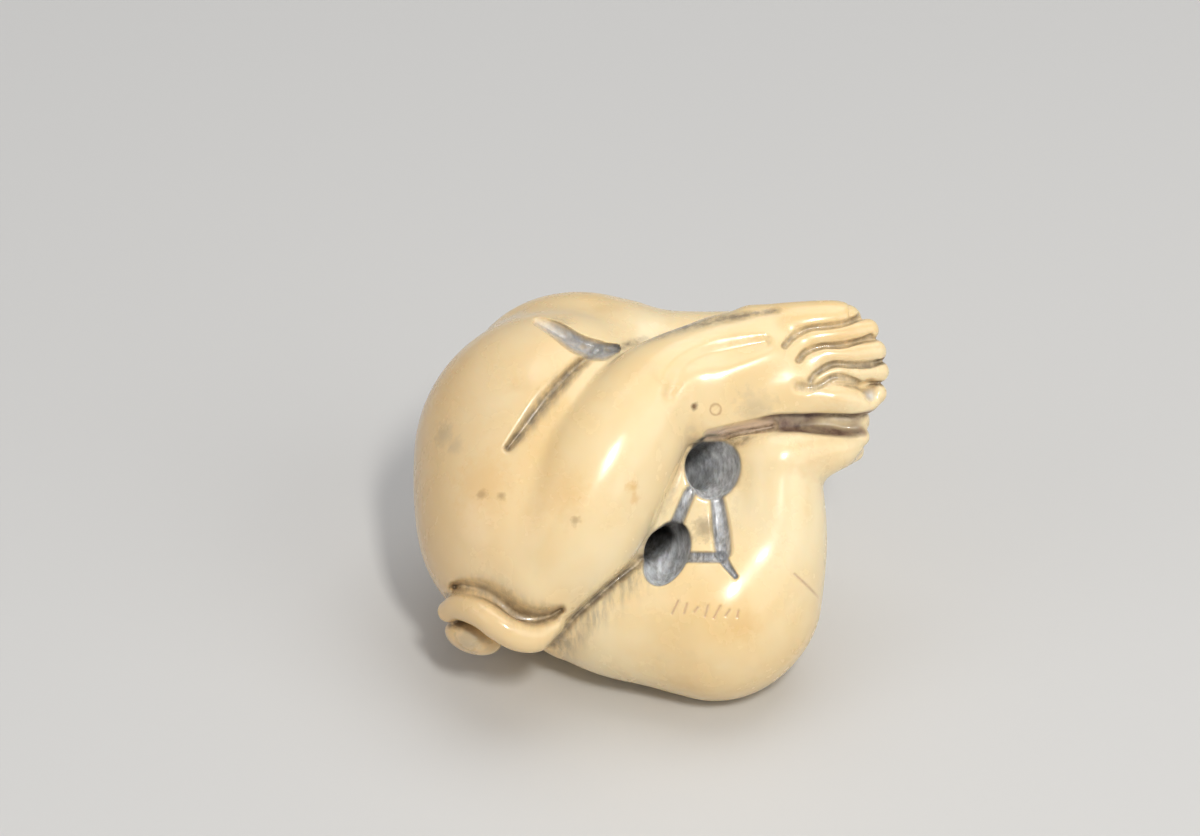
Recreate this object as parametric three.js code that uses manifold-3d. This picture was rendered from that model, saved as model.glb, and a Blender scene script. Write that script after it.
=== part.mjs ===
// A netsuke carved from one piece: a nude figure kneeling and curled up over its knees, with its two cord
// holes in the underside. It lies on its side, as it does when its underside is looked at.
// Millimetres. Every form is placed in the carving's own frame: X to the right, Y up the underside from the
// knees to the haunches, and Z out of the underside. layDown() then lays the carving on the table, +Z up.
import * as THREE from 'three';
import { mergeVertices } from 'three/addons/utils/BufferGeometryUtils.js';
import Module from 'manifold-3d';

// Driving dimensions
const UNDERSIDE_LEAN = 35; // degrees that the underside leans back from upright as the carving lies
const RESTING_FLAT = 0.5; // how much is taken off where the carving rests
const CLEAR_OF_FLAT = 0.1; // vertices nearer to the flat than this go under it, so that no sliver is left
const NARROWEST = 1.1; // half width of the narrowest furrow, which the mesh can still follow
const SPIKE = 0.45; // share of its ring's width that a vertex may stand out
const CELL = 1.62; // cell of the mesh over the broad forms
const LOW_CORNER = new THREE.Vector3(-24.4, -21.6, -22.6); // the block that the carving is cut from
const HIGH_CORNER = new THREE.Vector3(24.2, 21.4, 14.6);

const degrees = THREE.MathUtils.degToRad;

// ---- joining forms: each form gives the distance of a point from its surface, below zero inside it

function softMin(a, b, softness) {
  const near = Math.max(softness - Math.abs(a - b), 0) / softness;
  return Math.min(a, b) - (near * near * softness) / 4;
}

const softMax = (a, b, softness) => -softMin(-a, -b, softness);

// Joins forms onto the first one, each with its own softness.
const join = (first, ...others) => (p) =>
  others.reduce((distance, [softness, form]) => softMin(distance, form(p), softness), first(p));

// A rounded mass from its centre, its half sizes and its turns in degrees about X, Y and Z.
function mass(centre, halfSizes, turns = [0, 0, 0]) {
  const middle = new THREE.Vector3(...centre);
  const angles = new THREE.Euler(...turns.map(degrees), 'ZYX');
  const turn = new THREE.Matrix4().makeRotationFromEuler(angles).invert();
  const [a, b, c] = halfSizes;
  const q = new THREE.Vector3();
  return (p) => {
    q.subVectors(p, middle).applyMatrix4(turn);
    const share = Math.hypot(q.x / a, q.y / b, q.z / c);
    const slope = Math.hypot(q.x / (a * a), q.y / (b * b), q.z / (c * c));
    return slope > 1e-9 ? (share * (share - 1)) / slope : -Math.min(a, b, c);
  };
}

// A smooth curve through rows of numbers. Its distance is measured over the first `axes` numbers of a row.
function curveThrough(rows, axes) {
  const last = rows.length - 1;
  const beyond = (end, inner) => end.map((value, i) => 2 * value - inner[i]);
  const padded = [beyond(rows[0], rows[1]), ...rows, beyond(rows[last], rows[last - 1])];
  const width = rows[0].length;
  const value = new Float64Array(width);
  const slope = new Float64Array(width);
  const bend = new Float64Array(width);
  const at = (u) => {
    const i = Math.min(Math.floor(u), last - 1);
    const t = u - i;
    for (let n = 0; n < width; n += 1) {
      const [a, b, c, d] = [padded[i][n], padded[i + 1][n], padded[i + 2][n], padded[i + 3][n]];
      const k1 = (c - a) / 2;
      const k2 = (2 * a - 5 * b + 4 * c - d) / 2;
      const k3 = (3 * b - a - 3 * c + d) / 2;
      value[n] = b + t * (k1 + t * (k2 + t * k3));
      slope[n] = k1 + t * (2 * k2 + 3 * t * k3);
      bend[n] = 2 * k2 + 6 * t * k3;
    }
  };
  const STEPS = 3 * last;
  const samples = [];
  for (let j = 0; j <= STEPS; j += 1) {
    at((j * last) / STEPS);
    samples.push(Array.from(value.subarray(0, axes)));
  }
  // Nearest place on the curve: the distance to it, and the last number of its row.
  return (p) => {
    const point = [p.x, p.y, p.z];
    let best = Infinity;
    let u = 0;
    for (let j = 0; j < STEPS; j += 1) {
      const [start, end] = [samples[j], samples[j + 1]];
      let along = 0;
      let length = 0;
      for (let n = 0; n < axes; n += 1) {
        along += (point[n] - start[n]) * (end[n] - start[n]);
        length += (end[n] - start[n]) ** 2;
      }
      const t = Math.min(Math.max(along / length, 0), 1);
      let square = 0;
      for (let n = 0; n < axes; n += 1) square += (point[n] - start[n] - t * (end[n] - start[n])) ** 2;
      if (square < best) {
        best = square;
        u = ((j + t) * last) / STEPS;
      }
    }
    for (let round = 0; round < 2; round += 1) {
      at(u);
      let first = 0;
      let speed = 0;
      let curl = 0;
      for (let n = 0; n < axes; n += 1) {
        const gap = value[n] - point[n];
        first += gap * slope[n];
        speed += slope[n] ** 2;
        curl += gap * bend[n];
      }
      u = Math.min(Math.max(u - first / Math.max(speed + curl, 0.3 * speed), 0), last);
    }
    at(u);
    let square = 0;
    for (let n = 0; n < axes; n += 1) square += (value[n] - point[n]) ** 2;
    return [Math.sqrt(square), value[width - 1]];
  };
}

// A round limb along stations of x, y, z and radius.
function limb(...stations) {
  const nearest = curveThrough(stations, 3);
  return (p) => {
    const [distance, radius] = nearest(p);
    return distance - radius;
  };
}

// A furrow across the underside, along stations of x, y and half width.
function furrow(depth, ...stations) {
  const nearest = curveThrough(stations, 2);
  return (p) => {
    const [distance, halfWidth] = nearest(p);
    return depth * Math.exp(-((distance / Math.max(halfWidth, NARROWEST)) ** 2));
  };
}

// A furrow that runs round the carving, along stations of x, y, z and half width.
function furrowAround(depth, ...stations) {
  const nearest = curveThrough(stations, 3);
  return (p) => {
    const [distance, halfWidth] = nearest(p);
    return depth * Math.exp(-((distance / halfWidth) ** 2));
  };
}

// ---- the figure's forms

const trunk = join(
  mass([0, -2.5, -5], [14.5, 12.5, 9.6]),
  [2.0, mass([-8.3, 3.2, -3.8], [13.7, 14, 11.6])], // near haunch and thigh
  [4.0, mass([-11.6, -3.6, 0.8], [9.6, 9.4, 9.2], [0, 0, -30])], // near knee
  [2.5, limb([-1.5, 7.5, -8.5, 7.4], [7.6, -8.5, -3, 7.0])], // far thigh
  [4.0, mass([-3, 2.6, -11], [11.5, 10.6, 8.0], [-8, 0, 12])], // back
  [1.0, mass([-6.2, 9.9, -8], [11.1, 9.1, 8.3], [0, 0, -6])], // far haunch
  [2.5, limb([-1, 12.8, -5, 4.5], [6, 13.6, -2.5, 3.5], [13, 15, 0.2, 2.3])], // far side of the legs
  [3.5, limb([-10, -2.6, -10.8, 5.0], [3.4, -3.6, -10.6, 4.4])], // shoulders
  [2.5, mass([-5, -9, -7.2], [11.5, 6.6, 5.5], [-55, 0, 0])], // lap, on which it rests
);
const head = join(
  mass([-2.8, -6.6, -10.8], [5.6, 5.6, 6.0], [30, 0, 0]),
  [0.35, mass([-2.7, -5.6, -12.4], [5.75, 5.3, 4.9], [20, 0, 0])], // hair
  [0.3, mass([-8.2, -7.4, -9.6], [0.9, 1.5, 1.0], [0, 0, 20])], // ears
  [0.3, mass([2.6, -7.4, -9.6], [0.9, 1.5, 1.0], [0, 0, -20])],
);
const armNear = limb([-10.6, -3, -11.8, 4.0], [-13.2, -8.4, -10.4, 3.1], [-16.2, -10.8, -1.4, 2.3]);
const armFar = limb(
  [4.2, -3.4, -10.6, 3.9],
  [9.8, -7.6, -9.4, 3.1],
  [7.2, -12.2, -7.6, 2.6],
  [0.8, -13.4, -6.6, 2.3],
);

const legFar = join(
  limb([11.8, 3, 3, 3.9], [11.3, -4, 2, 5.0], [10.1, -9, 0.5, 5.0]), // shin
  [4.0, mass([7.1, -10.3, -0.4], [7.6, 7.9, 7.6], [0, 0, -12])], // knee
  [
    4.0, // thigh below the shin
    limb([5, -10.6, -0.2, 7.5], [-1.6, -10.3, -0.9, 7.0], [-6.2, -9.1, -1.6, 6.5]),
  ],
  [1.6, mass([4.2, -0.4, 1], [9, 7.6, 4.2])], // flat between the shins
  [1.6, mass([12.2, 3.9, 0.8], [7.2, 2.7, 5.0], [0, 0, 8])], // foot on edge
  [1.2, limb([13, 3.6, 3.4, 2.6], [17.3, 4.4, 3.3, 1.9], [19.2, 5.4, 3.2, 0.95])],
  [0.3, limb([13.4, 2.0, 2.0, 1.5], [16.8, 3.2, 2.1, 1.1], [18.7, 4.1, 2.0, 1.0])], // rim under the foot
);
const betweenFeet = limb([8, 6.2, 1, 3.0], [14, 6.9, 1.4, 2.9], [18.6, 6.9, 2.3, 1.6]);

const TOES = [
  [[9.5, 15, 3, 2.5], [13.8, 15.7, 3.8, 2.15], [17, 16.2, 3.9, 1.75], [18, 16.2, 3.8, 1.35]],
  [[12, 12.6, 4.2, 1.4], [14.2, 14.2, 4.8, 1.4], [17.4, 14.8, 4.7, 1.25], [19.9, 15.2, 4, 1.05]],
  [[13.4, 11, 4.4, 1.4], [15.4, 12.7, 5, 1.35], [18.2, 12.9, 4.8, 1.25], [20.5, 13.2, 4, 1.15]],
  [[14.6, 9.6, 4.6, 1.2], [16, 11, 5.2, 1.2], [18.6, 11.3, 4.9, 1.15], [20.9, 11.4, 3.9, 1.0]],
  [[14, 9, 4.8, 1.7], [16.8, 9, 5, 1.6], [19.2, 8.6, 4.4, 1.3], [20.7, 9.4, 3.7, 1.0]],
].map((stations) => limb(...stations));
const toes = join(TOES[0], ...TOES.slice(1).map((toe) => [0.25, toe]));

const legNear = join(
  limb(
    [-10.4, -6.4, 4.2, 6.0],
    [-7.2, -2.6, 4.8, 6.5],
    [-3.8, 3.4, 4.8, 6.2],
    [0.4, 9.2, 4.2, 4.9],
    [5.4, 12.3, 3.4, 4.0],
    [9.5, 13.8, 3, 3.5],
  ),
  [2.0, mass([10.6, 9.9, 3.8], [8.0, 4.3, 3.3], [0, 0, 14])], // sole
  [
    1.6, // edge of the sole
    limb([5.2, 8, 4.6, 3.0], [6.6, 10.6, 5.3, 2.2], [9.4, 12.2, 5.2, 1.7], [12.4, 13.6, 4.6, 1.6]),
  ],
  [0.6, join(toes, [0.8, mass([16.6, 12.4, 3], [3.9, 4.6, 2.2])])],
);

const hand = join(
  mass([-16.3, -13, 2.2], [2.7, 1.6, 2.6], [0, 0, -18]), // thumb
  [
    0.8, // fingers, rolled over the near knee
    limb(
      [-18.5, -10.6, 3.6, 1.05],
      [-17.3, -10.1, 5.2, 1.3],
      [-15.4, -10.6, 6.9, 1.45],
      [-13.6, -11.8, 7.5, 1.5],
      [-12, -12.6, 7.2, 1.55],
      [-10.4, -12.7, 6.5, 1.5],
      [-8.8, -11.9, 6.2, 1.3],
    ),
  ],
);

const FURROWS = [
  // between the haunches, between thigh and calf, and along the top of the calf
  furrow(
    1.1,
    [-10.4, 16.1, 0.3],
    [-8.6, 15.3, 0.6],
    [-6.6, 14.1, 0.7],
    [-4.6, 13.4, 0.65],
    [-3.2, 13.5, 0.3],
  ),
  furrow(0.7, [-13, 4.4, 0.3], [-11.4, 6.4, 0.5], [-9.4, 9, 0.55], [-7, 11.6, 0.5], [-4.8, 13.4, 0.3]),
  furrow(0.35, [-3.2, 13.5, 0.3], [0, 14.6, 0.4], [5, 15.9, 0.4], [11.5, 17, 0.3]),
  // above the hand
  furrow(
    0.5,
    [-19, -8.5, 0.4],
    [-17.4, -8.2, 0.6],
    [-15.1, -8.5, 0.75],
    [-12, -10.4, 0.8],
    [-8.2, -10.3, 0.4],
  ),
  // under the calf
  furrow(0.3, [-3.7, -8.1, 0.4], [-6.8, -10.9, 0.4], [-9, -13.8, 0.4]),
  // above the edge of the sole
  furrow(0.45, [1.6, 9.4, 0.6], [2.9, 11.6, 0.9], [4.9, 12.8, 0.9], [7.4, 13.3, 0.9], [10.4, 14, 0.6]),
  // grooves that join the cord holes, in the shape of an A
  furrow(0.55, [3.7, 0.4, 0.5], [2.4, -2.5, 0.5]),
  furrow(0.55, [6.1, -0.4, 0.5], [6.4, -2.7, 0.6], [6.6, -4.9, 0.6], [7.7, -7.3, 0.3]),
  furrow(0.45, [2.6, -5.6, 0.4], [6.4, -5.6, 0.4]),
  // from a cord hole to the slot between the feet
  furrow(0.3, [6.5, 5.7, 0.5], [8.5, 6.2, 0.5], [11, 6.6, 0.5]),
];
const spine = furrowAround(
  0.5,
  [-12, 15.8, -6, 1.2],
  [-10, 12.6, -13, 1.6],
  [-6.4, 6, -18.4, 1.8],
  [-3.4, 0, -19, 1.6],
);
const UNDERSIDE_BEGINS = -6; // furrows fade in from here
const UNDERSIDE_FULL = 0; // and are at their full depth from here

const feetSlot = join(
  limb([11.6, 7.1, 6.4, 0.55], [14, 7.3, 5.2, 0.6], [18, 7.2, 4.8, 0.6], [22, 7, 4.4, 0.6]),
  [0.3, limb([11.6, 6.5, 6.4, 0.55], [14, 6.6, 5.2, 0.6], [18, 6.6, 4.8, 0.6], [22, 6.6, 4.4, 0.6])],
);
const cordHoles = join(
  mass([5.7, 2.6, 5.6], [2.45, 2.95, 3.4], [0, 0, -8]),
  [1.0, limb([4.9, 2.7, 3.4, 1.9], [2, 1.2, 0.4, 1.9], [-0.6, -2, -0.8, 1.9], [0.9, -4.6, 1.8, 1.8])],
  [1.2, mass([1.5, -5.3, 5.4], [1.9, 3.1, 3.4], [0, 0, -22])],
);

const wholeFigure = join(
  trunk,
  [1.6, head],
  [1.2, armNear],
  [0.9, armFar],
  [0.8, legFar],
  [1.1, legNear],
  [0.4, betweenFeet],
  [0.9, hand],
);

function carving(p) {
  const front = THREE.MathUtils.clamp((p.z - UNDERSIDE_BEGINS) / (UNDERSIDE_FULL - UNDERSIDE_BEGINS), 0, 1);
  const cut = FURROWS.reduce((sum, depthAt) => sum + depthAt(p), 0) * front + spine(p);
  const slotted = softMax(wholeFigure(p) + cut, -feetSlot(p), 0.8);
  return softMax(slotted, -cordHoles(p), 0.8);
}

// ---- meshing

const STEP = 0.02;
const slopeAxes = [0, 1, 2].map((axis) => new THREE.Vector3().setComponent(axis, STEP));

function slopeAt(p) {
  const q = new THREE.Vector3();
  const differences = slopeAxes.map((axis) => {
    const ahead = carving(q.addVectors(p, axis));
    return ahead - carving(q.subVectors(p, axis));
  });
  return new THREE.Vector3(...differences).divideScalar(2 * STEP);
}

// Moves a point onto the carving's surface, along its slope.
function settle(p, rounds) {
  for (let round = 0; round < rounds; round += 1) {
    const slope = slopeAt(p);
    const size = Math.max(slope.lengthSq(), 0.25);
    p.addScaledVector(slope, -THREE.MathUtils.clamp(carving(p), -0.4, 0.4) / size);
  }
}

// A cell or a face that the surface crosses twice would pinch the mesh, so its weakest outer corner is
// filled.
function fillPinches(values, strides) {
  const corners = [0, 1, 2, 3, 4, 5, 6, 7];
  const offsets = corners.map((bits) =>
    strides.reduce((sum, stride, axis) => sum + ((bits >> axis) & 1) * stride, 0),
  );
  const faces = [0, 1, 2].flatMap((axis) =>
    [0, 1].map((side) => corners.filter((bits) => ((bits >> axis) & 1) === side)),
  );
  let filled = 0;
  const fillWeakest = (places) => {
    const outer = places.filter((place) => values[place] >= 0);
    const weakest = outer.reduce((a, b) => (values[a] < values[b] ? a : b));
    values[weakest] = -1e-3;
    filled += 1;
  };
  for (let cell = 0; cell + offsets[7] < values.length; cell += 1) {
    for (const face of faces) {
      const places = face.map((bits) => cell + offsets[bits]);
      const [a, b, c, d] = places.map((place) => values[place] < 0);
      if (a === d && b === c && a !== b) fillWeakest(places);
    }
    const places = offsets.map((offset) => cell + offset);
    const inner = corners.filter((bits) => values[places[bits]] < 0);
    const outer = corners.filter((bits) => values[places[bits]] >= 0);
    const lonePair = [inner, outer].some((pair) => pair.length === 2 && pair[0] + pair[1] === 7);
    if (lonePair) fillWeakest(places);
  }
  return filled;
}

// One vertex in each cell that the surface crosses, and two triangles round each grid edge that it crosses.
function netOverSurface() {
  const counts = HIGH_CORNER.clone().sub(LOW_CORNER).divideScalar(CELL).ceil().toArray().map((n) => n + 1);
  const strides = [1, counts[0], counts[0] * counts[1]];
  const values = new Float64Array(counts[0] * counts[1] * counts[2]);
  const corner = (i, j, k) => LOW_CORNER.clone().addScaledVector(new THREE.Vector3(i, j, k), CELL);
  const index = (i, j, k) => i + j * strides[1] + k * strides[2];
  for (let k = 0; k < counts[2]; k += 1) {
    for (let j = 0; j < counts[1]; j += 1) {
      for (let i = 0; i < counts[0]; i += 1) values[index(i, j, k)] = carving(corner(i, j, k));
    }
  }
  while (fillPinches(values, strides) > 0);
  const vertexOfCell = new Map();
  const points = [];
  const triangles = [];
  for (let k = 0; k < counts[2] - 1; k += 1) {
    for (let j = 0; j < counts[1] - 1; j += 1) {
      for (let i = 0; i < counts[0] - 1; i += 1) {
        const crossings = new THREE.Vector3();
        let crossed = 0;
        for (let edge = 0; edge < 12; edge += 1) {
          const axis = edge % 3;
          const offset = [0, 0, 0];
          offset[(axis + 1) % 3] = edge < 6 ? 0 : 1;
          offset[(axis + 2) % 3] = edge % 6 < 3 ? 0 : 1;
          const start = [i + offset[0], j + offset[1], k + offset[2]];
          const a = values[index(...start)];
          const b = values[index(...start) + strides[axis]];
          if (a < 0 !== b < 0) {
            start[axis] += a / (a - b);
            crossings.add(corner(...start));
            crossed += 1;
          }
        }
        if (crossed > 0) {
          vertexOfCell.set(index(i, j, k), points.length);
          points.push(crossings.divideScalar(crossed));
        }
      }
    }
  }
  for (let k = 1; k < counts[2] - 1; k += 1) {
    for (let j = 1; j < counts[1] - 1; j += 1) {
      for (let i = 1; i < counts[0] - 1; i += 1) {
        for (let axis = 0; axis < 3; axis += 1) {
          const here = index(i, j, k);
          const a = values[here];
          const b = values[here + strides[axis]];
          if (a < 0 === b < 0) continue;
          const u = strides[(axis + 1) % 3];
          const v = strides[(axis + 2) % 3];
          const ring = [here - u - v, here - v, here, here - u].map((cell) => vertexOfCell.get(cell));
          if (a >= 0) ring.reverse();
          const [p0, p1, p2, p3] = ring.map((vertex) => points[vertex]);
          const turn = p0.distanceTo(p2) > p1.distanceTo(p3) ? 1 : 0;
          const [r0, r1, r2, r3] = [0, 1, 2, 3].map((n) => ring[(n + turn) % 4]);
          triangles.push([r0, r1, r2], [r0, r2, r3]);
        }
      }
    }
  }
  return { points, triangles };
}

// Evens out the vertices along the surface.
function relax({ points, triangles }, rounds) {
  for (let round = 0; round < rounds; round += 1) {
    const sums = points.map(() => new THREE.Vector3());
    const counts = new Array(points.length).fill(0);
    for (const triangle of triangles) {
      for (let n = 0; n < 3; n += 1) {
        sums[triangle[n]].add(points[triangle[(n + 1) % 3]]);
        counts[triangle[n]] += 1;
      }
    }
    points.forEach((p, n) => {
      const normal = slopeAt(p).normalize();
      const move = sums[n].divideScalar(counts[n]).sub(p);
      move.addScaledVector(normal, -move.dot(normal));
      p.addScaledVector(move, 0.6);
      settle(p, 1);
    });
  }
}

// Draws in each vertex that stands out of the ring of its neighbours like a spike.
function drawInSpikes({ points, triangles }) {
  const rings = points.map(() => []);
  for (const triangle of triangles) {
    for (let n = 0; n < 3; n += 1) rings[triangle[n]].push(points[triangle[(n + 1) % 3]]);
  }
  const middles = rings.map((ring) =>
    ring.reduce((sum, p) => sum.add(p), new THREE.Vector3()).divideScalar(ring.length),
  );
  points.forEach((p, n) => {
    const spread = rings[n].reduce((sum, q) => sum + q.distanceTo(middles[n]), 0) / rings[n].length;
    if (p.distanceTo(middles[n]) > SPIKE * spread) p.copy(middles[n]);
  });
}

// Halves every edge that is longer than it may be where it lies.
function refine({ points, triangles }, longestAt) {
  const middles = new Map();
  const middleOf = (a, b) => {
    const key = a < b ? a * 1e6 + b : b * 1e6 + a;
    if (!middles.has(key)) {
      const middle = points[a].clone().add(points[b]).divideScalar(2);
      const split = points[a].distanceTo(points[b]) > longestAt(middle);
      middles.set(key, split ? points.push(middle) - 1 : -1);
      if (split) settle(middle, 2);
    }
    return middles.get(key);
  };
  return {
    points,
    triangles: triangles.flatMap((triangle) => {
      const cuts = triangle.map((vertex, n) => middleOf(vertex, triangle[(n + 1) % 3]));
      const splits = cuts.filter((cut) => cut >= 0).length;
      if (splits === 0) return [triangle];
      // Turned so that the cut edges come first.
      const afterWhole = (cuts.findIndex((cut) => cut < 0) + 1) % 3;
      const first = splits === 2 ? afterWhole : cuts.findIndex((cut) => cut >= 0);
      const [a, b, c] = [0, 1, 2].map((n) => triangle[(first + n) % 3]);
      const [ab, bc, ca] = [0, 1, 2].map((n) => cuts[(first + n) % 3]);
      if (splits === 1) return [[a, ab, c], [ab, b, c]];
      if (splits === 2) return [[ab, b, bc], [a, ab, bc], [a, bc, c]];
      return [[a, ab, ca], [ab, b, bc], [ca, bc, c], [ab, bc, ca]];
    }),
  };
}

// The fine forms lie in these balls: centre, radius and longest edge of the mesh there.
const FINE_PLACES = [
  [[18, 12.6, 4], 5.6, 0.76], // toes
  [[12, 6.8, 6], 3.2, 0.95], // slot
  [[18.5, 6.2, 4], 3.0, 1.0],
  [[-15.8, -11.4, 4.4], 4.8, 0.85], // hand
  [[-10, -12, 6], 3.4, 0.95],
  [[-4.6, -9, 5], 2.8, 0.95], // under the calf
  [[5.2, 2.4, 5.4], 4.2, 0.9], // cord holes
  [[1, -5, 4.6], 4.2, 0.85],
  [[6.6, -4, 5.4], 2.6, 1.0],
  [[-7, 14.4, 2], 3.6, 1.1], // between the haunches
].map(([centre, radius, edge]) => ({ centre: new THREE.Vector3(...centre), radius, edge }));

function longestEdge(p) {
  const places = FINE_PLACES.filter(({ centre, radius }) => p.distanceTo(centre) < radius);
  return Math.min(2 * CELL, ...places.map(({ edge }) => edge));
}

function carve() {
  let net = netOverSurface();
  net.points.forEach((p) => settle(p, 3));
  relax(net, 6);
  for (let pass = 0; pass < 3; pass += 1) {
    net = refine(net, longestEdge);
    relax(net, 4);
  }
  net.points.forEach((p) => settle(p, 2));
  for (let round = 0; round < 3; round += 1) drawInSpikes(net);
  return net;
}

// ---- laying it down on its worn flat

const wasm = await Module();
wasm.setup();

const toSolid = (vertProperties, triVerts) =>
  new wasm.Manifold(new wasm.Mesh({ numProp: 3, vertProperties, triVerts }));

const netSolid = (points, triangles) =>
  toSolid(Float32Array.from(points.flatMap((p) => p.toArray())), Uint32Array.from(triangles.flat()));

function tableSolid(top) {
  const size = 100;
  const box = new THREE.BoxGeometry(size, size, size).translate(0, 0, top - size / 2);
  box.deleteAttribute('normal');
  box.deleteAttribute('uv');
  const merged = mergeVertices(box);
  return toSolid(merged.getAttribute('position').array, Uint32Array.from(merged.index.array));
}

function layDown({ points, triangles }) {
  const lean = new THREE.Matrix4().makeRotationX(degrees(90 - UNDERSIDE_LEAN));
  const lying = points.map((p) => p.clone().applyMatrix4(lean));
  const flatHeight = Math.min(...lying.map((p) => p.z)) + RESTING_FLAT;
  for (const p of lying) {
    if (Math.abs(p.z - flatHeight) < CLEAR_OF_FLAT) p.z = flatHeight - CLEAR_OF_FLAT;
  }
  const rested = netSolid(lying, triangles).subtract(tableSolid(flatHeight));
  const { vertProperties, triVerts } = rested.getMesh();
  const geometry = new THREE.BufferGeometry();
  geometry.setAttribute('position', new THREE.BufferAttribute(Float32Array.from(vertProperties), 3));
  geometry.setIndex(new THREE.BufferAttribute(Uint32Array.from(triVerts), 1));
  geometry.computeBoundingBox();
  const { min, max } = geometry.boundingBox;
  geometry.translate(-(min.x + max.x) / 2, -(min.y + max.y) / 2, -min.z);
  geometry.computeVertexNormals();
  return geometry;
}

const ivory = new THREE.MeshStandardMaterial({ color: 0xecd7a8, roughness: 0.24, metalness: 0 });
const figure = new THREE.Mesh(layDown(carve()), ivory);
figure.name = 'carved_figure';

const netsuke = new THREE.Group();
netsuke.name = 'netsuke';
netsuke.add(figure);

export default netsuke;
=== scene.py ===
"""A polished netsuke: a nude figure curled up over its knees.

It lies with its underside and cord holes in view. The carving is one piece. Its forms are given in
millimetres in the carving's own frame: X to the right, Y up the underside from the knees to the haunches,
and Z out of the underside. `seat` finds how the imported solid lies, and everything is placed from there.
"""

from math import cos, radians, sin

import bpy
import numpy as np
from mathutils import Matrix, Vector


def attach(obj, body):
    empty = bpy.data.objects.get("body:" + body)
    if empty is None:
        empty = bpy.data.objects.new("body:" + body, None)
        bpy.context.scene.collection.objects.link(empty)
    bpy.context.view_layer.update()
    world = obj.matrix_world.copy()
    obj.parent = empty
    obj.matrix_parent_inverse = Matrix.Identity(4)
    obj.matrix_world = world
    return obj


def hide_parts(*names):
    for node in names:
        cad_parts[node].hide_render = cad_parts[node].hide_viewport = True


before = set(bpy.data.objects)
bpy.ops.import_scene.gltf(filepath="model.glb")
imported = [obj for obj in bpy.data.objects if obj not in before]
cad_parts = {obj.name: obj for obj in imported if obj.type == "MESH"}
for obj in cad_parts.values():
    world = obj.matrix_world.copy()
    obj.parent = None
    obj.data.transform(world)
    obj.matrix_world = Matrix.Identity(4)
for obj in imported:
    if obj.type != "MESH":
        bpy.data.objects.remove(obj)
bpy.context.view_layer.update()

MM = 0.001
NODE = "carved_figure"
UNDERSIDE_LEAN = 35  # degrees that the underside leans back from upright
FAR = 7.0  # a form further away than this is taken to be this far
STROKE_REACH = 2.5  # a stroke has no effect further than this outside the circle or ball round it
NARROWEST = 0.04  # a stroke's half width is never taken to be less than this
SLOT_EDGE, HOLE_EDGE, FLAT_EDGE = 0.25, 0.4, 0.25  # how softly each cut meets the surface

# ---------------------------------------------------------------- joining forms


def soft_min(a, b, softness):
    """The smaller of two distances, rounded where they are nearly equal."""
    near = np.maximum(softness - np.abs(a - b), 0) / softness
    return np.minimum(a, b) - near * near * softness / 4


def soft_max(a, b, softness):
    """The larger of two distances, rounded where they are nearly equal."""
    return -soft_min(-a, -b, softness)


def within_reach(form, centre, reach, beyond=FAR):
    """The form, worked out only for the points near it."""
    centre = np.array(centre, float)

    def near_form(p):
        square = ((p[:, : len(centre)] - centre) ** 2).sum(axis=1)
        near = square < (reach + FAR) ** 2
        values = np.full(len(p), beyond)
        if near.any():
            values[near] = form(p[near])
        return values

    return near_form


def join(first, *others):
    """Joins forms onto the first one, each with its own softness."""

    def joined(p):
        distance = first(p)
        for softness, form in others:
            distance = soft_min(distance, form(p), softness)
        return distance

    return joined


def turning(turns):
    """The matrix of turns in degrees about X, then Y, then Z."""
    x, y, z = (Matrix.Rotation(radians(turn), 3, axis) for turn, axis in zip(turns, "XYZ"))
    return np.array(z @ y @ x)


def mass(centre, half_sizes, turns=(0, 0, 0)):
    """A rounded mass from its centre, its half sizes and its turns in degrees about X, Y and Z."""
    middle, sizes, turn = np.array(centre, float), np.array(half_sizes, float), turning(turns)

    def distance(p):
        q = (p - middle) @ turn
        share = np.linalg.norm(q / sizes, axis=1)
        slope = np.maximum(np.linalg.norm(q / sizes**2, axis=1), 1e-9)
        return share * (share - 1) / slope

    return within_reach(distance, centre, max(half_sizes))


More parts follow.
